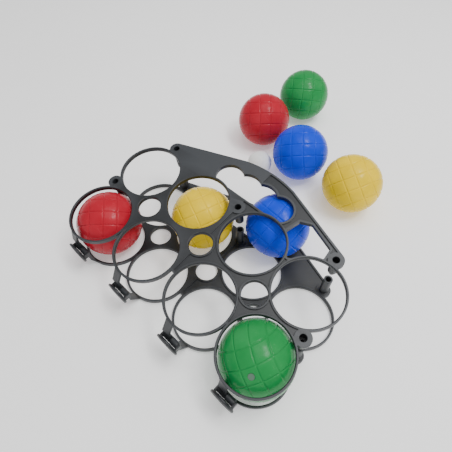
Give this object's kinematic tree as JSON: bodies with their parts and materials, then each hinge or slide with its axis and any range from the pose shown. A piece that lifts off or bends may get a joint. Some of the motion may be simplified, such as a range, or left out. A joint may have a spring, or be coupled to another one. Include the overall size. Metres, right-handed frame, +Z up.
{
  "type": "bocce ball set",
  "caption": "Lawn bocce set: hollow scored balls, a small jack ball and a hinged two-frame ring carrier with a finger-shaped hand grip and dished feet.",
  "frame": {"origin": "on the ground, at the middle of the whole set's footprint", "axes": "+Z up, +Y from the carrier's feet towards its hand grip and the loose balls, +X along the row of feet to the right"},
  "size_m": [0.297, 0.44, 0.0832],
  "materials": {
    "frame_plastic": "satin moulded charcoal plastic",
    "foot_plastic": "satin moulded charcoal plastic",
    "plug_plastic": "dull grey stopper",
    "jack_plastic": "glossy white plastic",
    "red_plastic": "glossy scored red plastic",
    "green_plastic": "glossy scored green plastic",
    "blue_plastic": "glossy scored blue plastic",
    "yellow_plastic": "glossy scored yellow plastic"
  },
  "bodies": {
    "lower_frame": {"lower_frame": "frame_plastic"},
    "upper_frame": {"upper_frame": "frame_plastic"},
    "foot_left_outer": {"foot_left_outer": "foot_plastic"},
    "foot_left_inner": {"foot_left_inner": "foot_plastic"},
    "foot_right_inner": {"foot_right_inner": "foot_plastic"},
    "foot_right_outer": {"foot_right_outer": "foot_plastic"},
    "red_ball_in_ring": {"red_ball_in_ring": "red_plastic", "red_plug_in_ring": "plug_plastic"},
    "yellow_ball_in_ring": {"yellow_ball_in_ring": "yellow_plastic", "yellow_plug_in_ring": "plug_plastic"},
    "green_ball_in_ring": {"green_ball_in_ring": "green_plastic", "green_plug_in_ring": "plug_plastic"},
    "blue_ball_under_grip": {"blue_ball_under_grip": "blue_plastic", "blue_plug_under_grip": "plug_plastic"},
    "red_ball_loose": {"red_ball_loose": "red_plastic", "red_plug_loose": "plug_plastic"},
    "green_ball_loose": {"green_ball_loose": "green_plastic", "green_plug_loose": "plug_plastic"},
    "blue_ball_loose": {"blue_ball_loose": "blue_plastic", "blue_plug_loose": "plug_plastic"},
    "yellow_ball_loose": {"yellow_ball_loose": "yellow_plastic", "yellow_plug_loose": "plug_plastic"},
    "jack": {"jack": "jack_plastic"}
  },
  "joints": [
    {"name": "carrier_opening", "type": "hinge", "parent": "lower_frame", "child": "upper_frame", "pos_m": [0, -0.21195, 0.0275], "axis": [1, 0, 0], "range_deg": [0, 15]},
    {"name": "foot_left_outer_swing", "type": "hinge", "parent": "lower_frame", "child": "foot_left_outer", "pos_m": [0, -0.21195, 0.0275], "axis": [1, 0, 0], "range_deg": [0, 8.5]},
    {"name": "foot_left_inner_swing", "type": "hinge", "parent": "lower_frame", "child": "foot_left_inner", "pos_m": [0, -0.21195, 0.0275], "axis": [1, 0, 0], "range_deg": [0, 8.5]},
    {"name": "foot_right_inner_swing", "type": "hinge", "parent": "lower_frame", "child": "foot_right_inner", "pos_m": [0, -0.21195, 0.0275], "axis": [1, 0, 0], "range_deg": [0, 8.5]},
    {"name": "foot_right_outer_swing", "type": "hinge", "parent": "lower_frame", "child": "foot_right_outer", "pos_m": [0, -0.21195, 0.0275], "axis": [1, 0, 0], "range_deg": [0, 8.5]},
    {"name": "red_ball_rattle", "type": "slide", "parent": "lower_frame", "child": "red_ball_in_ring", "axis": [0, 0, 1], "range_m": [0, 0.0025]},
    {"name": "yellow_ball_rattle", "type": "slide", "parent": "lower_frame", "child": "yellow_ball_in_ring", "axis": [0, 0, 1], "range_m": [0, 0.012]},
    {"name": "green_ball_rattle", "type": "slide", "parent": "lower_frame", "child": "green_ball_in_ring", "axis": [0, 0, 1], "range_m": [0, 0.0025]},
    {"name": "blue_ball_roll_in_place", "type": "hinge", "parent": "lower_frame", "child": "blue_ball_under_grip", "pos_m": [0.033, -0.04245, 0.0395], "axis": [1, 0, 0], "continuous": true},
    {"name": "red_ball_loose_lift", "type": "slide", "parent": "lower_frame", "child": "red_ball_loose", "axis": [0, 0, 1], "range_m": [0, 0.12]},
    {"name": "green_ball_loose_lift", "type": "slide", "parent": "lower_frame", "child": "green_ball_loose", "axis": [0, 0, 1], "range_m": [0, 0.12]},
    {"name": "blue_ball_loose_lift", "type": "slide", "parent": "lower_frame", "child": "blue_ball_loose", "axis": [0, 0, 1], "range_m": [0, 0.12]},
    {"name": "yellow_ball_loose_lift", "type": "slide", "parent": "lower_frame", "child": "yellow_ball_loose", "axis": [0, 0, 1], "range_m": [0, 0.12]},
    {"name": "jack_lift", "type": "slide", "parent": "lower_frame", "child": "jack", "axis": [0, 0, 1], "range_m": [0, 0.12]}
  ]
}
